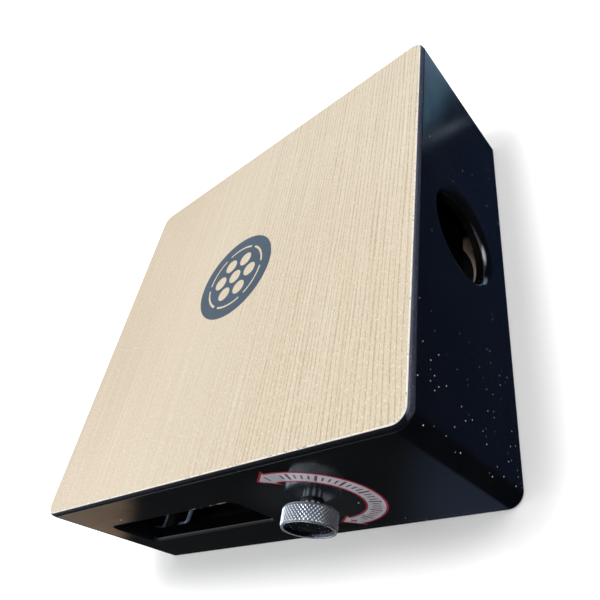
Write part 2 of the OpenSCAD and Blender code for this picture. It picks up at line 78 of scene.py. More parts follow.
class Shade:
    """Builds one material on the object's own coordinates, in metres."""

    def __init__(self, name, **plain):
        self.material = bpy.data.materials.new(name)
        self.material.use_nodes = True
        self.tree = self.material.node_tree
        self.tree.nodes.clear()
        out = self.node("ShaderNodeOutputMaterial")
        self.bsdf = self.node("ShaderNodeBsdfPrincipled")
        self.tree.links.new(self.bsdf.outputs["BSDF"], out.inputs["Surface"])
        self.place = self.node("ShaderNodeTexCoord").outputs["Object"]
        for socket, value in plain.items():
            self.bsdf.inputs[socket.replace("_", " ")].default_value = value

    def node(self, kind, **settings):
        made = self.tree.nodes.new(kind)
        for key, value in settings.items():
            setattr(made, key, value)
        return made

    def feed(self, socket, value):
        """Links a node's output to a socket, or sets a plain value on it."""
        if isinstance(value, bpy.types.NodeSocket):
            self.tree.links.new(value, socket)
        elif isinstance(value, (tuple, list)) and len(value) == 3 and socket.type == "RGBA":
            socket.default_value = (*value, 1.0)
        else:
            socket.default_value = value

    def maths(self, operation, a, b=0.0, clamp=False):
        made = self.node("ShaderNodeMath", operation=operation, use_clamp=clamp)
        self.feed(made.inputs[0], a)
        self.feed(made.inputs[1], b)
        return made.outputs[0]

    def times(self, a, b):
        return self.maths("MULTIPLY", a, b)

    def plus(self, a, b, clamp=False):
        return self.maths("ADD", a, b, clamp)

    def minus(self, a, b):
        return self.maths("SUBTRACT", a, b)

    def size(self, a):
        return self.maths("ABSOLUTE", a)

    def hypot(self, a, b):
        return self.maths("SQRT", self.plus(self.times(a, a), self.times(b, b)))

    def split(self, vector=None):
        made = self.node("ShaderNodeSeparateXYZ")
        self.feed(made.inputs[0], vector or self.place)
        return made.outputs[0], made.outputs[1], made.outputs[2]

    def join(self, x, y, z):
        made = self.node("ShaderNodeCombineXYZ")
        for socket, value in zip(made.inputs, (x, y, z)):
            self.feed(socket, value)
        return made.outputs[0]

    def stretch(self, scale, vector=None, shift=(0, 0, 0)):
        made = self.node("ShaderNodeMapping")
        self.feed(made.inputs["Vector"], vector or self.place)
        made.inputs["Scale"].default_value = scale
        made.inputs["Location"].default_value = shift
        return made.outputs[0]

    def noise(self, vector, scale=1.0, detail=2.0, rough=0.5, twist=0.0):
        made = self.node("ShaderNodeTexNoise")
        self.feed(made.inputs["Vector"], vector)
        made.inputs["Scale"].default_value = scale
        made.inputs["Detail"].default_value = detail
        made.inputs["Roughness"].default_value = rough
        made.inputs["Distortion"].default_value = twist
        return made.outputs["Fac"]

    def cells(self, vector, scale, flat=False):
        """Scattered cells: (distance from the nearest centre, that cell's random colour)."""
        made = self.node("ShaderNodeTexVoronoi", voronoi_dimensions="2D" if flat else "3D")
        self.feed(made.inputs["Vector"], vector)
        made.inputs["Scale"].default_value = scale
        return made.outputs["Distance"], made.outputs["Color"]

    def span(self, value, low, high, out_low=0.0, out_high=1.0, smooth=True):
        """Maps low..high to out_low..out_high, clamped at both ends."""
        made = self.node("ShaderNodeMapRange", clamp=True)
        made.interpolation_type = "SMOOTHSTEP" if smooth else "LINEAR"
        self.feed(made.inputs["Value"], value)
        limits = {"From Min": low, "From Max": high, "To Min": out_low, "To Max": out_high}
        for socket, number in limits.items():
            self.feed(made.inputs[socket], number)
        return made.outputs["Result"]

    def blend(self, share, a, b):
        made = self.node("ShaderNodeMix", data_type="RGBA")
        self.feed(made.inputs[0], share)
        self.feed(made.inputs[6], a)
        self.feed(made.inputs[7], b)
        return made.outputs[2]

    def bump(self, height, strength, depth, normal=None):
        made = self.node("ShaderNodeBump")
        made.inputs["Strength"].default_value = strength
        made.inputs["Distance"].default_value = depth
        self.feed(made.inputs["Height"], height)
        if normal:
            self.feed(made.inputs["Normal"], normal)
        return made.outputs[0]

    def edge_distance(self, half_x, half_y, radius):
        """Distance in from the edge of a rectangle with round corners, centred on the Z axis."""
        x, y, _ = self.split()
        dx = self.minus(self.size(x), half_x - radius)
        dy = self.minus(self.size(y), half_y - radius)
        corner = self.hypot(self.maths("MAXIMUM", dx, 0.0), self.maths("MAXIMUM", dy, 0.0))
        inside = self.maths("MINIMUM", self.maths("MAXIMUM", dx, dy), 0.0)
        return self.minus(radius, self.plus(corner, inside))

    def soft_edge(self, radius):
        """A normal that rounds every edge of the mesh a little."""
        made = self.node("ShaderNodeBevel", samples=6)
        made.inputs["Radius"].default_value = radius
        return made.outputs[0]

    def set(self, **sockets):
        """Feeds the surface's own sockets and gives back the finished material."""
        for socket, value in sockets.items():
            self.feed(self.bsdf.inputs[socket.replace("_", " ")], value)
        return self.material


# ---------------------------------------------------------------- finishes

def ash_grain(s):
    """Straight ash grain along Y: (growth lines, pores, flecks, body streaks), each from 0 to 1."""
    ring_width = 3.0 * MM
    drift = 26 * MM
    x, y, z = s.split()
    wander = s.noise(s.stretch((6, 1.4, 1)), 1, 2)
    bent = s.plus(x, s.times(s.minus(wander, 0.5), drift))
    grain = s.join(bent, y, z)
    uneven = s.noise(s.stretch((110, 4, 1), grain), 1, 3, 0.6)
    phase = s.plus(s.times(bent, 2 * math.pi / ring_width), s.times(uneven, 15.0))
    wave = s.maths("SINE", phase)
    dashes = s.noise(s.stretch((1400, 170, 1), grain, (1, 2, 0)), 1, 2, 0.7)
    lines = s.times(s.span(wave, 0.62, 0.95), s.span(dashes, 0.38, 0.50, 0.25, 1.0))
    body = s.noise(s.stretch((520, 6, 1), grain, (3, 1, 0)), 1, 3, 0.65)
    pores = s.noise(s.stretch((2300, 210, 1), grain, (0, 7, 0)), 1, 2, 0.6)
    flecks = s.noise(s.stretch((1700, 620, 1), grain, (5, 0, 0)), 1, 2, 0.6)
    return lines, pores, flecks, body


def ash_veneer():
    """Pale ash: bold growth lines towards the port side, quiet ones away from it, a painted highlight
    along the rim.
    """
    s = Shade("ash_veneer", Metallic=0.0, Specular_IOR_Level=0.35)
    lines, pores, flecks, body = ash_grain(s)
    x, y, _ = s.split()
    drift = s.noise(s.stretch((9, 5, 1), shift=(2, 4, 0)), 1, 2)
    strong = s.span(s.plus(x, s.times(drift, 0.12)), 0.03, 0.10, 0.22, 1.0)
    amber = s.blend(s.span(drift, 0.3, 0.72), (0.620, 0.500, 0.342), (0.664, 0.542, 0.382))
    blond = s.blend(s.span(drift, 0.3, 0.72), (0.694, 0.588, 0.430), (0.740, 0.636, 0.480))
    # Darker, warmer tone towards the left end (x): painted shade, for the light falling brighter on the
    # right of the face.
    colour = s.blend(s.span(x, -0.14, 0.05), amber, blond)
    colour = s.blend(s.times(s.span(body, 0.46, 0.66), 0.28), colour, (0.580, 0.480, 0.340))
    colour = s.blend(s.times(s.span(body, 0.42, 0.28), 0.50), colour, (0.840, 0.765, 0.630))
    colour = s.blend(s.times(s.times(lines, strong), 0.72), colour, (0.430, 0.320, 0.205))
    pore_share = s.times(s.span(pores, 0.55, 0.68), s.span(strong, 0.1, 1.0, 0.45, 1.0))
    colour = s.blend(s.times(pore_share, 0.32), colour, (0.390, 0.295, 0.195))
    colour = s.blend(s.times(s.span(flecks, 0.54, 0.66), 0.55), colour, (0.930, 0.880, 0.780))
    # Painted highlight: a pale, ragged line just inside the edge of the face, for the light catching the
    # veneer's edge.
    inward = s.edge_distance(veneer_high.x, veneer_high.y, VENEER_CORNER)
    rim_wobble = s.times(s.noise(s.place, 700, 2, 0.6), 0.5 * MM)
    rim = s.span(s.minus(inward, rim_wobble), 0.4 * MM, 0.1 * MM)
    colour = s.blend(rim, colour, (0.960, 0.930, 0.860))
    splinter = s.span(s.noise(s.stretch((500, 420, 1), shift=(3, 3, 0)), 1, 2, 0.7), 0.58, 0.63)
    notches = s.times(splinter, s.span(inward, 0.7 * MM, 0.4 * MM))
    colour = s.blend(s.times(notches, 0.8), colour, (0.060, 0.060, 0.070))
    height = s.minus(s.times(lines, -0.5), pore_share)
    return s.set(
        Base_Color=colour,
        Roughness=s.span(body, 0.3, 0.7, 0.42, 0.56),
        Normal=s.bump(height, 0.25, 0.12 * MM, s.soft_edge(0.35 * MM)),
    )


def veneer_cut_edge():
    """Sanded cut edge of the veneer, with the ends of the pores: paler than its face, partly the sanded
    wood and partly a painted highlight of the light catching the edge.
    """
    s = Shade("veneer_cut", Metallic=0.0, Specular_IOR_Level=0.3)
    ends = s.noise(s.place, 1600, 2, 0.6)
    tone = s.noise(s.place, 160, 3, 0.6)
    # The pale tone is partly a painted highlight of the light catching the edge.
    colour = s.blend(s.span(tone, 0.3, 0.7), (0.800, 0.730, 0.610), (0.930, 0.880, 0.790))
    return s.set(
        Base_Color=s.blend(s.times(s.span(ends, 0.60, 0.74), 0.5), colour, (0.420, 0.330, 0.220)),
        Roughness=s.span(ends, 0.3, 0.7, 0.5, 0.7),
        Normal=s.bump(ends, 0.3, 0.08 * MM),
    )


def badge_ink():
    """Slate blue print with a fine dither, thin enough to show the grain under it."""
    s = Shade("badge_ink", Metallic=0.0, Specular_IOR_Level=0.25)
    lines, pores, _, body = ash_grain(s)
    dither = s.noise(s.place, 1500, 2, 0.7)
    tone = s.noise(s.place, 45, 3, 0.5)
    colour = s.blend(s.span(tone, 0.3, 0.7), (0.036, 0.064, 0.092), (0.046, 0.078, 0.110))
    colour = s.blend(s.times(s.span(dither, 0.54, 0.66), 0.45), colour, (0.130, 0.170, 0.210))
    colour = s.blend(s.times(s.span(body, 0.45, 0.65), 0.18), colour, (0.060, 0.082, 0.120))
    height = s.minus(s.times(lines, 0.5), s.span(pores, 0.60, 0.72))
    return s.set(
        Base_Color=colour,
        Roughness=s.span(dither, 0.3, 0.7, 0.46, 0.60),
        Normal=s.bump(height, 0.16, 0.08 * MM),
    )


def port_side_specks(s, y, z):
    """Fine bright dust on the port side, crowded towards its low corner at the knob side."""
    crowd = s.times(s.span(y, -50 * MM, -140 * MM), s.span(z, 105 * MM, 5 * MM, 0.25, 1.0))
    far, tint = s.cells(s.join(y, z, 0.0), 300, flat=True)
    shade, chance, _ = s.split(tint)
    chosen = s.span(s.plus(chance, s.times(crowd, 0.20)), 0.985, 0.990, smooth=False)
    specks = s.times(s.span(far, 0.105, 0.060), chosen)
    return s.times(specks, s.span(shade, 0.3, 1.0, 0.18, 1.0))


def slot_chips(s, x, z):
    """Ragged chips in the lacquer along a short stretch of the slot's upper lip."""
    line = slot_top + 2.1 * MM
    over_slot = s.span(s.size(s.minus(z, line)), 0.9 * MM, 0.4 * MM)
    ragged = s.span(s.noise(s.stretch((260, 1, 500), shift=(0.4, 0.2, 0.3)), 1, 3, 0.7), 0.56, 0.60)
    stretch = s.times(s.span(x, -34 * MM, -26 * MM), s.span(x, 6 * MM, 1 * MM))
    return s.times(s.times(over_slot, ragged), stretch)


def black_lacquer():
    """Sprayed gloss lacquer: orange peel, haze, dust, chips over the slot, a polished zone at the knob."""
    s = Shade("black_lacquer", Metallic=0.0)
    x, y, z = s.split()
    on_port_side = s.span(x, port_face - 2.5 * MM, port_face - 1 * MM)
    on_knob_side = s.span(y, knob_face + 1.5 * MM, knob_face + 0.5 * MM)
    behind_face = s.span(y, knob_face + 0.05 * MM, knob_face + 0.25 * MM)
    in_slot = s.times(behind_face, s.span(s.size(x), 128 * MM, 122 * MM))
    off_axis = s.hypot(s.minus(x, axis_point.x), s.minus(z, axis_point.z))
    handled = s.times(s.span(off_axis, 45 * MM, 18 * MM), on_knob_side)

    peel = s.noise(s.place, 420, 2, 0.45)
    haze = s.noise(s.place, 14, 4, 0.62)
    wipe = s.noise(s.stretch((30, 30, 240)), 1, 3, 0.6)
    far, tint = s.cells(s.place, 215)
    dust = s.times(s.span(far, 0.120, 0.070), s.span(s.split(tint)[0], 0.980, 0.986, smooth=False))
    dust = s.maths("MAXIMUM", dust, s.times(port_side_specks(s, y, z), on_port_side))
    chips = s.times(slot_chips(s, x, z), on_knob_side)

    colour = s.blend(s.span(haze, 0.35, 0.75), (0.0016, 0.0018, 0.0024), (0.0030, 0.0034, 0.0044))
    colour = s.blend(dust, colour, (0.78, 0.78, 0.76))
    colour = s.blend(chips, colour, (0.42, 0.38, 0.32))
    rough = s.plus(s.span(haze, 0.3, 0.75, 0.08, 0.15), s.span(wipe, 0.45, 0.8, 0.0, 0.05))
    rough = s.plus(rough, s.times(handled, 0.09))
    rough = s.plus(rough, s.times(s.maths("MAXIMUM", dust, chips), 0.5), clamp=True)
    shine = s.times(s.span(handled, 0.0, 1.0, 0.5, 1.0), s.span(in_slot, 0.0, 1.0, 1.0, 0.16))
    height = s.plus(s.times(peel, 0.5), s.minus(dust, chips))
    return s.set(
        Base_Color=colour,
        Roughness=rough,
        IOR=s.span(handled, 0.0, 1.0, 1.5, 1.9),
        Coat_Weight=handled,
        Coat_IOR=2.3,
        Coat_Roughness=0.14,
        Specular_Tint=s.blend(handled, (1.0, 1.0, 1.0), (0.72, 0.86, 1.0)),
        Specular_IOR_Level=shine,
        Normal=s.bump(height, 0.10, 0.08 * MM, s.soft_edge(0.25 * MM)),
    )


def black_paint():
    """Thin matt black paint sprayed over bare wood inside the box."""
    s = Shade("black_paint", Metallic=0.0, Specular_IOR_Level=0.2)
    fibres = s.noise(s.stretch((700, 60, 700)), 1, 3, 0.6)
    patch = s.noise(s.place, 26, 4, 0.6)
    colour = s.blend(s.span(patch, 0.35, 0.7), (0.0045, 0.0045, 0.0048), (0.0090, 0.0086, 0.0084))
    colour = s.blend(s.times(s.span(fibres, 0.62, 0.78), 0.25), colour, (0.045, 0.036, 0.028))
    return s.set(
        Base_Color=colour,
        Roughness=s.span(fibres, 0.3, 0.7, 0.62, 0.80),
        Normal=s.bump(fibres, 0.3, 0.12 * MM, s.soft_edge(0.4 * MM)),
    )


def sprayed_batten():
    """Bare batten behind the port, painted in a round patch where the spray came in through the port."""
    s = Shade("sprayed_batten", Metallic=0.0, Specular_IOR_Level=0.35)
    patch_middle, patch_reach, patch_bend = 3 * MM, 136.2 * MM, 11.5
    x, y, z = s.split()
    rings = s.noise(s.stretch((240, 5, 240)), 1, 3, 0.6)
    pores = s.noise(s.stretch((1300, 60, 1300)), 1, 2, 0.6)
    along = s.minus(y, patch_middle)
    reach = s.minus(patch_reach, s.times(s.times(along, along), patch_bend))
    ragged = s.times(s.minus(s.noise(s.place, 900, 2, 0.6), 0.5), 0.6 * MM)
    patch = s.span(s.minus(s.plus(x, ragged), reach), 0.3 * MM, -0.3 * MM)
    past = s.span(s.size(along), 31 * MM, 38 * MM)
    sprayed = s.maths("MAXIMUM", patch, past)
    colour = s.blend(s.span(rings, 0.32, 0.68), (0.66, 0.57, 0.46), (0.50, 0.41, 0.31))
    colour = s.blend(s.times(s.span(pores, 0.58, 0.72), 0.4), colour, (0.26, 0.20, 0.14))
    colour = s.blend(sprayed, colour, (0.0040, 0.0046, 0.0064))
    return s.set(
        Base_Color=colour,
        Roughness=s.span(sprayed, 0.0, 1.0, 0.70, 0.32),
        Normal=s.bump(s.minus(rings, pores), 0.3, 0.12 * MM, s.soft_edge(0.4 * MM)),
    )


def black_edge():
    """Painted edge of the playing plate: near black, with a lighter mottled slate along the port side that
    is painted light, for that side of the edge catching the light.
    """
    s = Shade("black_edge", Metallic=0.0)
    x, _, z = s.split()
    plies = s.noise(s.join(0.0, 0.0, s.times(z, 1400)), 1, 1)
    paint = s.noise(s.place, 900, 3, 0.6)
    worn = s.noise(s.place, 60, 3, 0.6)
    # Mask of the port side of the edge: the lighter slate tone and stronger mottling that it brings in are
    # painted light, for that side catching the light.
    thin = s.span(x, port_face - 3 * MM, port_face - 1.5 * MM)
    colour = s.blend(s.span(worn, 0.35, 0.7), (0.0060, 0.0066, 0.0100), (0.0130, 0.0150, 0.0240))
    side_light_tone = s.blend(thin, (0.0010, 0.0012, 0.0020), (0.022, 0.026, 0.046))
    colour = s.blend(s.span(thin, 0.0, 1.0, 0.75, 0.80), colour, side_light_tone)
    mottle_and_side_light = s.times(s.span(paint, 0.50, 0.70), s.span(thin, 0.0, 1.0, 0.04, 0.75))
    colour = s.blend(mottle_and_side_light, colour, (0.085, 0.092, 0.140))
    height = s.plus(s.times(plies, 0.4), paint)
    return s.set(
        Base_Color=colour,
        Roughness=s.span(paint, 0.3, 0.7, 0.42, 0.60),
        Specular_IOR_Level=s.span(thin, 0.0, 1.0, 0.05, 0.45),
        Normal=s.bump(height, 0.45, 0.12 * MM, s.soft_edge(0.4 * MM)),
    )


def raw_wood(name, along, dark, light):
    """Unfinished wood with its grain along one axis."""
    s = Shade(name, Metallic=0.0, Specular_IOR_Level=0.25)
    ring_scale = [5 if axis == along else 150 for axis in range(3)]
    pore_scale = [70 if axis == along else 1300 for axis in range(3)]
    rings = s.noise(s.stretch(ring_scale), 1, 3, 0.55, 0.4)
    pores = s.noise(s.stretch(pore_scale), 1, 2, 0.6)
    patch = s.noise(s.place, 22, 3, 0.55)
    colour = s.blend(s.span(rings, 0.32, 0.68), light, dark)
    colour = s.blend(s.times(s.span(patch, 0.4, 0.7), 0.25), colour, tuple(v * 0.72 for v in dark))
    colour = s.blend(s.times(s.span(pores, 0.60, 0.74), 0.4), colour, tuple(v * 0.5 for v in dark))
    height = s.minus(s.times(rings, 0.5), s.span(pores, 0.58, 0.74))
    return s.set(
        Base_Color=colour,
        Roughness=s.span(rings, 0.3, 0.7, 0.62, 0.78),
        Normal=s.bump(height, 0.3, 0.15 * MM, s.soft_edge(0.4 * MM)),
    )


def metal(name, low, high, rough_low, rough_high, along=None, bare=1.0):
    """Bare or plated metal, with fine drawing lines along one axis if it has them."""
    s = Shade(name, Metallic=bare)
    scale = [900] * 3 if along is None else [60 if axis == along else 2600 for axis in range(3)]
    lines = s.noise(s.stretch(scale), 1, 3, 0.6)
    stain = s.noise(s.place, 120, 3, 0.6)
    drawn = s.span(lines, 0.3, 0.7, rough_low, rough_high)
    return s.set(
        Base_Color=s.blend(s.span(stain, 0.3, 0.75), high, low),
        Roughness=s.plus(drawn, s.span(stain, 0.55, 0.8, 0.0, 0.08)),
        Normal=s.bump(lines, 0.2, 0.02 * MM, s.soft_edge(0.15 * MM)),
    )


def turned_metal(
    name, low, high, rough_low, rough_high, pitch, depth, swarf=0.0, valleys=None, painted_streaks=0, bare=1.0
):
    """Metal turned about the knob's axis: fine rings, and where asked swarf, painted shade in the knurl's
    valleys, or dark stripes round the axis that paint streaks of reflection.
    """
    s = Shade(name, Metallic=bare)
    x, y, z = s.split()
    dx = s.minus(x, axis_point.x)
    dz = s.minus(z, axis_point.z)
    radius = s.hypot(dx, dz)
    rings = s.noise(s.join(s.maths("DIVIDE", radius, pitch), s.maths("DIVIDE", y, pitch), 0.0), 1, 2, 0.6)
    stain = s.noise(s.place, 180, 3, 0.6)
    grit = s.noise(s.place, 2200, 2, 0.6)
    colour = s.blend(s.span(stain, 0.3, 0.75), high, low)
    colour = s.blend(s.times(s.span(grit, 0.62, 0.75), 0.35), colour, tuple(v * 0.35 for v in low))
    rough = s.plus(s.span(rings, 0.3, 0.7, rough_low, rough_high), s.span(stain, 0.5, 0.8, 0.0, 0.1))
    if swarf:
        far, tint = s.cells(s.place, 900)
        crowd = s.noise(s.place, 160, 2, 0.5)
        pick = s.plus(s.split(tint)[0], s.span(crowd, 0.50, 0.66, 0.0, 0.30))
        specks = s.times(s.span(far, 0.36, 0.20), s.span(pick, 0.94, 0.98, smooth=False))
        colour = s.blend(s.times(specks, swarf), colour, (0.90, 0.92, 0.95))
        rough = s.plus(rough, s.times(specks, 0.5), clamp=True)
    if valleys:
        # Painted shade: the knurl's valleys are darkened nearly to black.
        valley_shade = s.span(radius, valleys[0], valleys[1], 1.0, 0.0)
        colour = s.blend(s.times(valley_shade, 0.90), colour, tuple(v * 0.06 for v in low))
        rough = s.plus(rough, s.times(valley_shade, 0.25), clamp=True)
    if painted_streaks:
        # Painted reflection: dark stripes round the axis leave pale streaks between them.
        wave = s.maths("SINE", s.times(s.maths("ARCTAN2", dz, dx), painted_streaks))
        colour = s.blend(s.span(wave, 0.5, -0.1), colour, tuple(v * 0.10 for v in low))
    return s.set(
        Base_Color=colour,
        Roughness=rough,
        Normal=s.bump(rings, 0.3, depth),
    )


def plastic(name, low, high, rough_low, rough_high):
    """Moulded nylon with a fine satin grain and faint flow marks."""
    s = Shade(name, Metallic=0.0, Specular_IOR_Level=0.45)
    fine = s.noise(s.place, 900, 2, 0.55)
    flow = s.noise(s.place, 55, 3, 0.5)
    return s.set(
        Base_Color=s.blend(s.span(flow, 0.3, 0.7), low, high),
        Roughness=s.span(fine, 0.3, 0.7, rough_low, rough_high),
        Normal=s.bump(fine, 0.2, 0.06 * MM, s.soft_edge(0.2 * MM)),
    )


def label_film(name, low, high, shine):
    """Printed foil: fine metallic flake under a smooth film."""
    s = Shade(name, Metallic=shine, Specular_IOR_Level=0.5)
    flake = s.noise(s.place, 3200, 2, 0.65)
    tone = s.noise(s.place, 90, 3, 0.55)
    scuff = s.noise(s.stretch((160, 160, 1400)), 1, 3, 0.6)
    colour = s.blend(s.span(tone, 0.3, 0.7), low, high)
    bright = tuple(min(1.0, v * 1.35) for v in high)
    colour = s.blend(s.times(s.span(flake, 0.55, 0.7), 0.3), colour, bright)
    return s.set(
        Base_Color=colour,
        Roughness=s.plus(s.span(flake, 0.3, 0.7, 0.30, 0.42), s.span(scuff, 0.6, 0.8, 0.0, 0.12)),
        Normal=s.bump(flake, 0.12, 0.03 * MM),
    )


veneer_finish = ash_veneer()
cut_edge = veneer_cut_edge()
batten_finish = sprayed_batten()
inside_paint = black_paint()
ink_finish = badge_ink()
lacquer = black_lacquer()
edge_paint = black_edge()
BIRCH = ((0.44, 0.30, 0.165), (0.60, 0.445, 0.265))
wood_x = raw_wood("raw_wood_x", 0, *BIRCH)
wood_y = raw_wood("raw_wood_y", 1, *BIRCH)
# Darkened copy of the raw wood for the drilled mouths of the pivot blocks: painted shade, for their place
# in the shadow inside the box.
shaded_raw_wood = raw_wood("raw_wood_painted_shade", 0, (0.190, 0.120, 0.070), (0.300, 0.200, 0.120))
bright_steel = metal("steel", (0.42, 0.49, 0.60), (0.58, 0.65, 0.75), 0.18, 0.32)
# Swing rods: a bright blue base colour with little metal, painted reflection that stands in for the blue
# highlights on the rods.
rod_steel_painted_reflection = metal("rod_steel_painted_reflection", (0.30, 0.48, 0.78), (0.46, 0.64, 0.92), 0.26, 0.40, along=1, bare=0.35)
shaft_steel = turned_metal(
    "shaft_steel", (0.52, 0.55, 0.60), (0.66, 0.69, 0.73), 0.16, 0.26, 0.2 * MM, 0.01 * MM,
)
# The knurl's valleys get painted shade.
knurl_steel = turned_metal(
    "knurled_steel", (0.66, 0.70, 0.76), (0.86, 0.90, 0.96), 0.18, 0.28, 0.3 * MM, 0.004 * MM,
    valleys=(head_radius - 0.56 * MM, head_radius - 0.32 * MM), bare=0.86,
)
rim_steel = turned_metal(
    "rim_steel", (0.62, 0.65, 0.70), (0.76, 0.79, 0.84), 0.10, 0.20, 0.4 * MM, 0.006 * MM, bare=0.80,
)
# The knob's neck: a pale base with no metal and dark stripes, painted streaks of reflection for its
# polished steel.
neck_painted_streaks = turned_metal(
    "neck_painted_reflection", (0.84, 0.90, 0.95), (0.94, 0.98, 1.00), 0.10, 0.20, 0.4 * MM, 0.006 * MM,
    painted_streaks=10, bare=0.0,
)
dish_steel = turned_metal(
    "dish_steel", (0.060, 0.070, 0.090), (0.110, 0.122, 0.145), 0.16, 0.28, 0.5 * MM, 0.02 * MM, swarf=0.9,
)
black_oxide = metal("dark_steel", (0.028, 0.028, 0.032), (0.050, 0.050, 0.056), 0.32, 0.48)
brass_finish = metal("brass", (0.58, 0.38, 0.13), (0.72, 0.52, 0.22), 0.22, 0.38)
dark_nylon = plastic("black_nylon", (0.006, 0.006, 0.007), (0.010, 0.010, 0.012), 0.34, 0.48)
pale_nylon = plastic("white_nylon", (0.70, 0.68, 0.60), (0.80, 0.78, 0.71), 0.38, 0.52)
silver_film = label_film("label_film", (0.36, 0.35, 0.39), (0.47, 0.46, 0.51), 0.25)
red_film = label_film("label_red", (0.200, 0.006, 0.016), (0.270, 0.010, 0.024), 0.05)
ink_red = label_film("label_ink", (0.085, 0.008, 0.016), (0.120, 0.012, 0.022), 0.05)
solder = metal("solder", (0.46, 0.46, 0.47), (0.62, 0.62, 0.62), 0.30, 0.50)


# ---------------------------------------------------------------- finishes on the CAD pieces

def finish_whole(names, finish):
    """Gives whole CAD pieces their finish."""
    for name in names:
        nodes[name].material_slots[0].material = finish


def finish_part(name, finish, is_part):
    """Gives a second finish to some faces of a CAD piece."""
    mesh = nodes[name].data
    mesh.materials.append(finish)
    for face in mesh.polygons:
        if is_part(face):
            face.material_index = len(mesh.materials) - 1


finish_whole(["face_veneer"], veneer_finish)
finish_whole(["badge_print"], ink_finish)
finish_whole(["side_far", "side_left", "side_port", "side_knob", "back_panel"], lacquer)
finish_whole(["playing_plate"], edge_paint)
finish_whole([f"corner_block_{i}" for i in (1, 2, 3, 4)] + ["bearing_block"], inside_paint)
finish_whole([f"pivot_block_{i}" for i in (1, 2, 3, 4)], inside_paint)
finish_whole(["batten_far", "batten_knob", "batten_left"], inside_paint)
finish_whole(["batten_port"], batten_finish)
finish_whole(["snare_bar"], wood_x)
finish_whole([f"swing_rod_{i}" for i in (1, 2, 3, 4)], rod_steel_painted_reflection)
finish_whole(["snare_plate_left", "snare_plate_right"], brass_finish)
finish_whole(["spindle_bushing"], brass_finish)
finish_whole(["spindle", "follower_pin"], shaft_steel)
finish_whole(["retaining_ring", "snare_screws"], bright_steel)
finish_whole(["bearing_screws", "cam_set_screw"], black_oxide)
finish_whole(["knob_washer"], dark_nylon)
finish_whole(["lift_cam"], pale_nylon)

NEAR = 0.02 * MM  # how close the middle of a face has to be to its plane
MOUTH = 2.7 * MM  # radius of the drilled mouth in a pivot block
AXES = {"x": 0, "y": 1, "z": 2}
inner_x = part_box("corner_block_2")[1].x
inner_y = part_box("corner_block_3")[1].y
panel_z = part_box("back_panel")[1].z
plate_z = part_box("playing_plate")[0].z


def on_plane(axis, facing, place):
    """A test for faces that look along +axis or -axis and lie in one plane."""
    a = AXES[axis]
    return lambda face: face.normal[a] * facing > 0.9 and abs(face.center[a] - place) < NEAR


finish_part("side_port", inside_paint, on_plane("x", -1, inner_x))
finish_part("side_left", inside_paint, on_plane("x", 1, -inner_x))
finish_part("side_far", inside_paint, on_plane("y", -1, inner_y))
finish_part("side_knob", inside_paint, on_plane("y", 1, -inner_y))
finish_part("back_panel", inside_paint, on_plane("z", 1, panel_z))
finish_part("playing_plate", wood_y, on_plane("z", -1, plate_z))
finish_part("face_veneer", cut_edge, lambda face: abs(face.normal.z) < 0.5)
swing = next(j for j in frame["record"]["behaviour"]["joints"] if j["name"] == "snare_swing")
pivot = Vector(swing["pos_m"])


def in_mouth(face):
    """A test for faces near the pivot's axis."""
    return math.hypot(face.center.y - pivot.y, face.center.z - pivot.z) < MOUTH


# The drilled mouths get the darkened wood: painted shade.
for i in (1, 2, 3, 4):
    finish_part(f"pivot_block_{i}", shaded_raw_wood, in_mouth)


# ---------------------------------------------------------------- new pieces

def add_piece(name, points, faces, finishes, body, smooth=True, choice=None):
    """A mesh piece in the row frame that rides on a CAD body. choice gives each face its finish."""
    mesh = bpy.data.meshes.new(name)
    mesh.from_pydata([tuple(p) for p in points], [], faces)
    for finish in finishes:
        mesh.materials.append(finish)
    for index, face in enumerate(mesh.polygons):
        face.use_smooth = smooth
        if choice:
            face.material_index = choice[index]
    mesh.validate()
    piece = bpy.data.objects.new(name, mesh)
    bpy.context.scene.collection.objects.link(piece)
    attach(piece, body)
    return piece


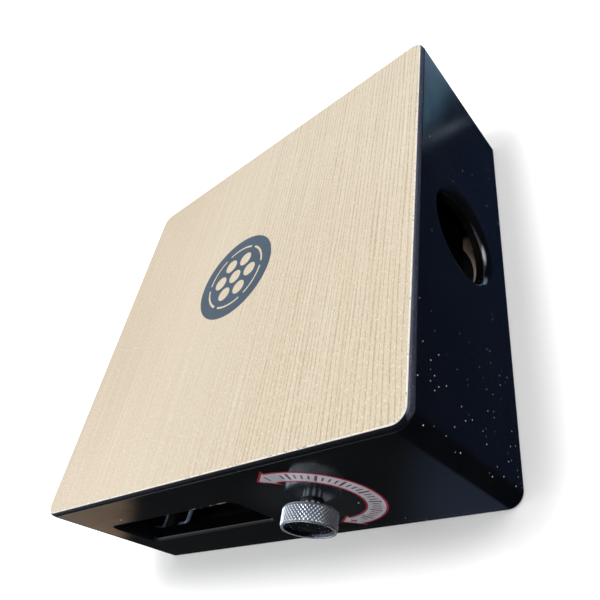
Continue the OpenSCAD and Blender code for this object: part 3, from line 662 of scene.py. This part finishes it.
def knurled_knob():
    """Turned knob with a true diamond knurl, a dished end, a polished neck whose streaks of reflection are
    painted, and its spindle bore.
    """
    KNURL, DISH, RIM, NECK = 0, 1, 2, 3
    teeth, fine = 44, 4  # ridges round the head, mesh columns for each
    columns = teeth * fine
    lead = 2.4 * MM  # how far one ridge climbs along the knob while it passes one tooth
    depth = 0.60 * MM
    neck_length, head_length = 4.1 * MM, 10.4 * MM
    chamfer, rim, dish, floor = 0.5 * MM, 1.0 * MM, 1.8 * MM, 1.0 * MM
    neck_radius, soft = 5.5 * MM, 0.3 * MM
    bore_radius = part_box("spindle")[1].x - axis_point.x
    start = knob_low.y
    head_end = start + head_length
    neck_end = head_end + neck_length
    bore_floor = start + dish + floor
    dish_edge = head_radius - chamfer - rim
    dish_floor = dish_edge - dish

    rows = []  # radius, y, how much of the knurl shows, finish of the faces up to this row
    dish_rows = 8
    for i in range(1, dish_rows + 1):
        rows.append((dish_floor * i / dish_rows, start + dish, 0.0, DISH))
    rows += [
        (dish_floor + 0.25 * MM, start + dish - 0.12 * MM, 0.0, DISH),
        (dish_edge - 0.2 * MM, start + 0.25 * MM, 0.0, DISH),
        (dish_edge, start + 0.05 * MM, 0.0, RIM),
        (dish_edge + 0.15 * MM, start, 0.0, RIM),
        (head_radius - chamfer - 0.1 * MM, start, 0.0, RIM),
        (head_radius - chamfer + 0.05 * MM, start + 0.03 * MM, 0.0, RIM),
        (head_radius - depth + 0.02 * MM, start + 0.15 * MM, 0.0, RIM),
    ]
    steps = 16
    step = lead / fine
    first = (start + head_end) / 2 - step * steps / 2
    knurl_start = len(rows)
    for i in range(steps + 1):
        at_end = i in (0, steps)
        rows.append((head_radius, first + step * i, 0.0 if at_end else 1.0, KNURL))
    rows += [
        (head_radius - chamfer, head_end - 0.04 * MM, 0.0, RIM),
        (head_radius - chamfer - 0.2 * MM, head_end, 0.0, RIM),
        (neck_radius + soft, head_end, 0.0, RIM),
        (neck_radius, head_end + soft, 0.0, NECK),
        (neck_radius, neck_end - soft, 0.0, NECK),
        (neck_radius - soft, neck_end, 0.0, NECK),
        (bore_radius + soft, neck_end, 0.0, NECK),
        (bore_radius, neck_end - soft, 0.0, NECK),
        (bore_radius, bore_floor, 0.0, NECK),
    ]

    def groove(turns):
        """A triangle wave: 0 in a valley, 1 on a ridge."""
        return 1 - abs(2 * (turns - math.floor(turns)) - 1)

    def crossing(c, y):
        """Heights of the two sets of ridges at a column and a place along the knob."""
        along = (y - first) / lead
        return groove(c / fine + along), groove(c / fine - along)

    points, faces, choice = [Vector((axis_point.x, start + dish, axis_point.z))], [], []
    for radius, y, shown, _ in rows:
        for c in range(columns):
            r = radius
            if radius == head_radius:
                r = head_radius - depth + depth * min(crossing(c, y)) * shown
            a = 2 * math.pi * (c / columns)
            points.append(Vector((axis_point.x + r * math.cos(a), y, axis_point.z + r * math.sin(a))))
    end_point = len(points)
    points.append(Vector((axis_point.x, bore_floor, axis_point.z)))
    for c in range(columns):
        faces.append((0, 1 + c, 1 + (c + 1) % columns))
        choice.append(DISH)
    for k in range(len(rows) - 1):
        low, high = 1 + k * columns, 1 + (k + 1) * columns
        knurled = knurl_start <= k < knurl_start + steps
        for c in range(columns):
            d = (c + 1) % columns
            corners = (low + c, high + c, high + d, low + d)
            if knurled:
                one, other = crossing(c + 0.5, rows[k][1] + step / 2)
                if one < other:
                    corners = corners[1:] + corners[:1]
                faces += [corners[:3], corners[2:] + corners[:1]]
                choice += [KNURL, KNURL]
            else:
                faces.append(corners)
                choice.append(rows[k + 1][3])
    low = 1 + (len(rows) - 1) * columns
    for c in range(columns):
        faces.append((low + c, end_point, low + (c + 1) % columns))
        choice.append(NECK)
    piece = add_piece(
        "knob_knurled", points, faces, [knurl_steel, dish_steel, rim_steel, neck_painted_streaks],
        "knob_and_cam", choice=choice,
    )
    for face in piece.data.polygons:
        face.use_smooth = face.material_index != KNURL
    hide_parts("knob")
    return piece


def inset(loop, distance):
    """A closed loop of 2-D points, counter-clockwise, moved inwards by a distance."""
    result = []
    count = len(loop)
    for i in range(count):
        p, q, r = loop[i - 1], loop[i], loop[(i + 1) % count]
        a = (q - p).normalized()
        b = (r - q).normalized()
        normal_a, normal_b = Vector((-a.y, a.x)), Vector((-b.y, b.x))
        middle = normal_a + normal_b
        result.append(q + middle * (distance / (1 + normal_a.dot(normal_b))))
    return result


def arc_label():
    """Two-headed arc arrow: red border, silver band, graduation bars, a plus and a minus sign."""
    FOIL, BORDER, INK = 0, 1, 2
    low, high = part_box("arc_label")
    band_radius, half, head_half = 35.3 * MM, 6.2 * MM, 9.4 * MM
    border_width = 1.25 * MM
    tip = math.radians(103)
    barb = tip - math.radians(19)
    steps = 48
    board_y, face_y = high.y, low.y
    foil_y = face_y + (board_y - face_y) * 0.2
    ink_low, ink_high = foil_y + 0.010 * MM, foil_y - 0.012 * MM

    def polar(r, a):
        return Vector((r * math.cos(a), r * math.sin(a)))

    def head(side):
        """The barb, tip and barb of one arrow head, counter-clockwise round the label."""
        reach = side * head_half
        ends = ((band_radius + reach, barb), (band_radius, tip), (band_radius - reach, barb))
        return [polar(r, side * a) for r, a in ends]

    sweep = [barb * i / steps for i in range(-steps, steps + 1)]
    outline = [polar(band_radius + half, a) for a in sweep] + head(1)
    outline += [polar(band_radius - half, -a) for a in sweep] + head(-1)
    inner = inset(outline, border_width)
    count, arc = len(outline), 2 * steps + 1
    points, faces, choice = [], [], []

    def put(flat, y):
        points.append(Vector((axis_point.x + flat.x, y, axis_point.z + flat.y)))
        return len(points) - 1

    base = [put(p, board_y) for p in outline]
    top = [put(p, face_y) for p in outline]
    lip = [put(p, face_y) for p in inner]
    foil = [put(p, foil_y) for p in inner]
    for i in range(count):
        j = (i + 1) % count
        for near, far in ((base, top), (top, lip), (lip, foil)):
            faces.append((near[j], near[i], far[i], far[j]))
            choice.append(BORDER)
    heads = (
        (arc - 1, arc, arc + 1, arc + 2, arc + 3),
        (2 * arc + 2, 2 * arc + 3, 2 * arc + 4, 2 * arc + 5, 0),
    )
    for ring, finish, flip in ((foil, FOIL, False), (base, BORDER, True)):
        for i in range(arc - 1):
            near = 2 * arc + 2 - i
            quad = (ring[i], ring[i + 1], ring[near - 1], ring[near])
            faces.append(quad if flip else quad[::-1])
            choice.append(finish)
        for corner_places in heads:
            corners = tuple(ring[i] for i in corner_places)
            faces.append(corners if flip else corners[::-1])
            choice.append(finish)

    def bar(centre, across, length, width):
        """A thin printed bar that points along a direction in the label's plane."""
        along = Vector((-across.y, across.x))
        corners = []
        for s, t in ((-1, -1), (1, -1), (1, 1), (-1, 1)):
            corners.append(centre + across * (s * length / 2) + along * (t * width / 2))
        bottom = [put(p, ink_low) for p in corners]
        upper = [put(p, ink_high) for p in corners]
        faces.append(tuple(reversed(upper)))
        faces.append(tuple(bottom))
        for i in range(4):
            j = (i + 1) % 4
            faces.append((bottom[j], bottom[i], upper[i], upper[j]))
        choice.extend([INK] * 6)

    marks, fan = 13, math.radians(74)
    for i in range(-marks, marks + 1):
        a = fan * i / marks
        length, width = (7.0 * MM, 1.4 * MM) if i % 4 == 0 else (4.6 * MM, 1.0 * MM)
        bar(polar(band_radius, a), polar(1, a), length, width)
    sign_turn, sign_length, sign_width = math.radians(88.5), 5.2 * MM, 1.1 * MM
    for a in (sign_turn, -sign_turn):
        bar(polar(band_radius, a), polar(1, a), sign_length, sign_width)
    across = polar(1, -sign_turn)
    arm_offset, arm_length = 1.6 * MM, 2.05 * MM
    for side in (-1, 1):
        offset = Vector((-across.y, across.x)) * (side * arm_offset)
        bar(polar(band_radius, -sign_turn) + offset, across, sign_width, arm_length)
    piece = add_piece(
        "arc_arrow", points, faces, [silver_film, red_film, ink_red], "box",
        smooth=False, choice=choice,
    )
    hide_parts("arc_label")
    return piece


def snare_coils(side, body):
    """Coiled wire strands and their solder strip, drawn level and laid back to the rest angle."""
    WIRE, SOLDER = 0, 1
    name = f"snare_strands_{side}"
    turn = math.radians(swing["range_deg"][1])
    lower = Matrix.Translation(pivot) @ Matrix.Rotation(-turn, 4, "X") @ Matrix.Translation(-pivot)
    level = lower.inverted()
    corners = [level @ v.co for v in nodes[name].data.vertices]
    (x0, x1), (y0, y1), (z0, z1) = (
        (min(p[axis] for p in corners), max(p[axis] for p in corners)) for axis in range(3)
    )
    strand_pitch = 5 * MM
    radius = (z1 - z0) / 2
    count = round((x1 - x0 - 2 * radius) / strand_pitch) + 1
    pitch, wire, around, sides = 1.25 * MM, 0.24 * MM, 12, 5
    reach = radius - wire - 0.02 * MM
    first_y = y0 + wire + 1.1 * MM
    length = y1 - y0 - 2 * wire - 1.2 * MM
    total = int(length / pitch * around)
    points, faces, choice = [], [], []
    for k in range(count):
        middle_x = x0 + radius + k * (x1 - x0 - 2 * radius) / (count - 1)
        middle_z = (z0 + z1) / 2
        first = len(points)
        for i in range(total + 1):
            a = 2 * math.pi * i / around + k
            middle = Vector((middle_x, first_y + length * i / total, middle_z))
            outward = Vector((math.cos(a), 0, math.sin(a)))
            for w in range(sides):
                b = 2 * math.pi * w / sides
                along = Vector((0, wire * math.sin(b), 0))
                points.append(middle + outward * (reach + wire * math.cos(b)) + along)
        for i in range(total):
            for w in range(sides):
                v = (w + 1) % sides
                r = first + i * sides
                faces.append((r + w, r + v, r + sides + v, r + sides + w))
        faces.append(tuple(first + w for w in reversed(range(sides))))
        faces.append(tuple(first + total * sides + w for w in range(sides)))
    choice += [WIRE] * len(faces)
    strip = len(points)
    chamfer, strip_depth, strip_height = 0.3 * MM, 4 * MM, 1.8 * MM
    back_y, top_z = y0 + strip_depth, z0 + strip_height
    section = [
        (y0, z0), (back_y, z0), (back_y, top_z - chamfer),
        (back_y - chamfer, top_z), (y0 + chamfer, top_z), (y0, top_z - chamfer),
    ]
    for x in (x0, x1):
        points += [Vector((x, y, z)) for y, z in section]
    edge = len(section)
    for i in range(edge):
        j = (i + 1) % edge
        faces.append((strip + j, strip + i, strip + edge + i, strip + edge + j))
    faces.append(tuple(strip + i for i in range(edge)))
    faces.append(tuple(strip + edge + i for i in reversed(range(edge))))
    choice += [SOLDER] * (edge + 2)
    piece = add_piece(
        f"snare_coils_{side}", [lower @ p for p in points], faces, [bright_steel, solder], body,
        choice=choice,
    )
    for face in piece.data.polygons:
        face.use_smooth = face.material_index == WIRE
    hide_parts(name)
    return piece


knurled_knob()
arc_label()
snare_coils("left", "snare_carrier")
snare_coils("right", "snare_carrier")


# ---------------------------------------------------------------- floor, light and camera

def floor_finish():
    """Matt white sweep that glows a little away from the object, so that no horizon shows."""
    s = Shade("floor", Metallic=0.0, Specular_IOR_Level=0.1)
    outside = s.times(s.edge_distance(cad_high.x, cad_high.y, 10 * MM), -1.0)
    tone = s.noise(s.place, 3, 3, 0.5)
    s.bsdf.inputs["Emission Color"].default_value = (1.0, 1.0, 1.0, 1.0)
    return s.set(
        Base_Color=s.blend(s.span(tone, 0.3, 0.7), (0.90, 0.90, 0.90), (0.92, 0.92, 0.92)),
        Roughness=s.span(tone, 0.3, 0.7, 0.80, 0.88),
        Emission_Strength=s.span(outside, 6 * MM, 42 * MM, 0.05, 0.5),
    )


def add_floor():
    """A round floor just under the drum, left out of what gloss and metal mirror."""
    ring, rings, reach = 96, 6, 9.0
    points, faces = [Vector((0, 0, 0))], []
    for k in range(1, rings + 1):
        for i in range(ring):
            a = 2 * math.pi * i / ring
            points.append(Vector((math.cos(a), math.sin(a), 0)) * reach * (k / rings) ** 2)
    for i in range(ring):
        faces.append((0, 1 + i, 1 + (i + 1) % ring))
    for k in range(rings - 1):
        near, far = 1 + k * ring, 1 + (k + 1) * ring
        for i in range(ring):
            j = (i + 1) % ring
            faces.append((near + i, far + i, far + j, near + j))
    mesh = bpy.data.meshes.new("floor")
    mesh.from_pydata([tuple(p) for p in points], [], faces)
    mesh.materials.append(floor_finish())
    floor = bpy.data.objects.new("floor", mesh)
    floor.location.z = cad_low.z - 0.2 * MM
    floor.visible_glossy = False
    bpy.context.scene.collection.objects.link(floor)


def add_world():
    """Even pale light all round, and a dim room with a bright ceiling for gloss and metal to mirror."""
    world = bpy.data.worlds.new("studio")
    bpy.context.scene.world = world
    world.use_nodes = True
    world.cycles.sampling_method = "NONE"
    tree = world.node_tree
    tree.nodes.clear()

    def node(kind, **settings):
        made = tree.nodes.new(kind)
        for key, value in settings.items():
            setattr(made, key, value)
        return made

    direction = node("ShaderNodeTexCoord").outputs["Generated"]

    def facing(towards):
        """Cosine of the angle between the ray and a direction."""
        dot = node("ShaderNodeVectorMath", operation="DOT_PRODUCT")
        tree.links.new(direction, dot.inputs[0])
        dot.inputs[1].default_value = Vector(towards).normalized()
        return dot.outputs["Value"]

    def fade(value, start, full):
        soft = node("ShaderNodeMapRange", interpolation_type="SMOOTHSTEP")
        soft.inputs["From Min"].default_value = start
        soft.inputs["From Max"].default_value = full
        tree.links.new(value, soft.inputs["Value"])
        return soft.outputs["Result"]

    def lobe(towards, start, full):
        """A soft round patch of the room: nothing outside cosine start, whole inside cosine full."""
        return fade(facing(towards), start, full)

    def band(share, across, half):
        """Keeps a lobe only near the great circle square to a direction."""
        size = node("ShaderNodeMath", operation="ABSOLUTE")
        tree.links.new(facing(across), size.inputs[0])
        both = node("ShaderNodeMath", operation="MULTIPLY")
        tree.links.new(share, both.inputs[0])
        tree.links.new(fade(size.outputs[0], half, 0.0), both.inputs[1])
        return both.outputs[0]

    def mix(share, below, colour):
        made = node("ShaderNodeMix", data_type="RGBA")
        tree.links.new(share, made.inputs[0])
        if isinstance(below, tuple):
            made.inputs[6].default_value = (*below, 1.0)
        else:
            tree.links.new(below, made.inputs[6])
        made.inputs[7].default_value = (*colour, 1.0)
        return made.outputs[2]

    # the dim lower half of the room, which the two black sides mirror
    gloss = mix(lobe((-0.780, -0.280, -0.560), 0.86, 0.95), (0.006, 0.008, 0.013), (0.018, 0.020, 0.021))
    gloss = mix(lobe((0.38, 0.55, -0.74), 0.80, 0.98), gloss, (0.015, 0.026, 0.062))
    # a window's panes and its sill, mirrored at the top of the port side
    panes = band(lobe((0.280, 0.855, -0.437), 0.9970, 0.9996), (-0.642, -0.171, -0.747), 0.036)
    gloss = mix(panes, gloss, (0.21, 0.42, 0.60))
    sill = band(lobe((0.300, 0.821, -0.485), 0.9978, 0.9997), (-0.080, 0.528, 0.8455), 0.013)
    gloss = mix(sill, gloss, (0.24, 0.31, 0.38))
    # a blue glow on the port's lip
    gloss = mix(lobe((0.120, 0.975, -0.185), 0.945, 0.985), gloss, (0.60, 0.90, 1.30))
    # a warm strip at the left end of the knob side and a faint blue one at its right end
    gloss = mix(lobe((-0.885, -0.225, -0.407), 0.9970, 0.9986), gloss, (0.46, 0.32, 0.22))
    gloss = mix(lobe((-0.400, -0.350, -0.845), 0.982, 0.999), gloss, (0.070, 0.095, 0.155))
    # pale ground under the knob
    gloss = mix(lobe((-0.450, 0.350, -0.820), 0.85, 0.97), gloss, (0.40, 0.42, 0.45))
    # the ceiling, two lamps on the left and one high on the right
    gloss = mix(lobe((-0.550, -0.050, 0.830), 0.10, 0.70), gloss, (1.15, 1.22, 1.34))
    gloss = mix(lobe((-0.950, 0.060, 0.300), 0.92, 0.985), gloss, (2.9, 3.1, 3.5))
    gloss = mix(lobe((-0.800, -0.150, 0.580), 0.94, 0.985), gloss, (3.2, 3.4, 3.7))
    gloss = mix(lobe((0.520, 0.270, 0.810), 0.90, 0.98), gloss, (5.0, 5.4, 6.2))

    def background(strength):
        made = node("ShaderNodeBackground")
        made.inputs["Color"].default_value = (1.0, 1.0, 1.0, 1.0)
        made.inputs["Strength"].default_value = strength
        return made

    def choose(ray, otherwise, chosen):
        """One background for most rays and another for one kind of ray."""
        made = node("ShaderNodeMixShader")
        tree.links.new(ray, made.inputs[0])
        tree.links.new(otherwise, made.inputs[1])
        tree.links.new(chosen, made.inputs[2])
        return made.outputs[0]

    rays = node("ShaderNodeLightPath")
    fill, backdrop, room = background(FILL), background(1.0), background(1.0)
    tree.links.new(gloss, room.inputs["Color"])
    seen = choose(rays.outputs["Is Camera Ray"], fill.outputs[0], backdrop.outputs[0])
    lit = choose(rays.outputs["Is Glossy Ray"], seen, room.outputs[0])
    tree.links.new(lit, node("ShaderNodeOutputWorld").inputs["Surface"])


def add_softbox(name, place, aim, size, power, colour):
    """A rectangular lamp at one place, turned to face another."""
    light = bpy.data.lights.new(name, "AREA")
    light.shape = "RECTANGLE"
    light.size, light.size_y = size
    light.energy = power
    light.color = colour
    lamp = bpy.data.objects.new(name, light)
    lamp.location = place
    lamp.rotation_mode = "QUATERNION"
    lamp.rotation_quaternion = (Vector(place) - Vector(aim)).to_track_quat("Z", "Y")
    bpy.context.scene.collection.objects.link(lamp)


def fitted_view():
    """The camera's place and its right and up directions, fitted to the box's straight edges."""
    place = Vector((0.26199, -0.24696, 0.26688))
    right = Vector((0.77381, 0.09506, -0.62625))
    up = Vector((0.30437, 0.81125, 0.49923))
    return place, right, up


def add_camera():
    """Shifted lens, rolled as in the photo, above the corner of the knob side and the port side."""
    place, right, up = fitted_view()
    back = right.cross(up).normalized()
    up = back.cross(right).normalized()
    right.normalize()
    data = bpy.data.cameras.new("camera")
    data.sensor_width = 36.0
    data.lens = 33.33
    data.shift_x, data.shift_y = -0.0787, 0.0564
    data.clip_start, data.clip_end = 0.01, 50.0
    camera = bpy.data.objects.new("camera", data)
    turn = Matrix((right, up, back)).transposed().to_4x4()
    camera.matrix_world = Matrix.Translation(place) @ turn
    bpy.context.scene.collection.objects.link(camera)
    bpy.context.scene.camera = camera


add_floor()
add_world()
add_softbox("key", (0.80, 0.40, 1.40), (0.05, 0, 0.05), (0.7, 0.7), 5.0, (1.0, 0.99, 0.975))
add_softbox("overhead", (-0.9, -0.5, 1.2), (0.0, -0.10, 0.0), (0.5, 0.8), 2.5, (0.95, 0.98, 1.0))
add_camera()
bpy.context.scene.view_settings.view_transform = "Standard"
bpy.context.scene.view_settings.look = "None"
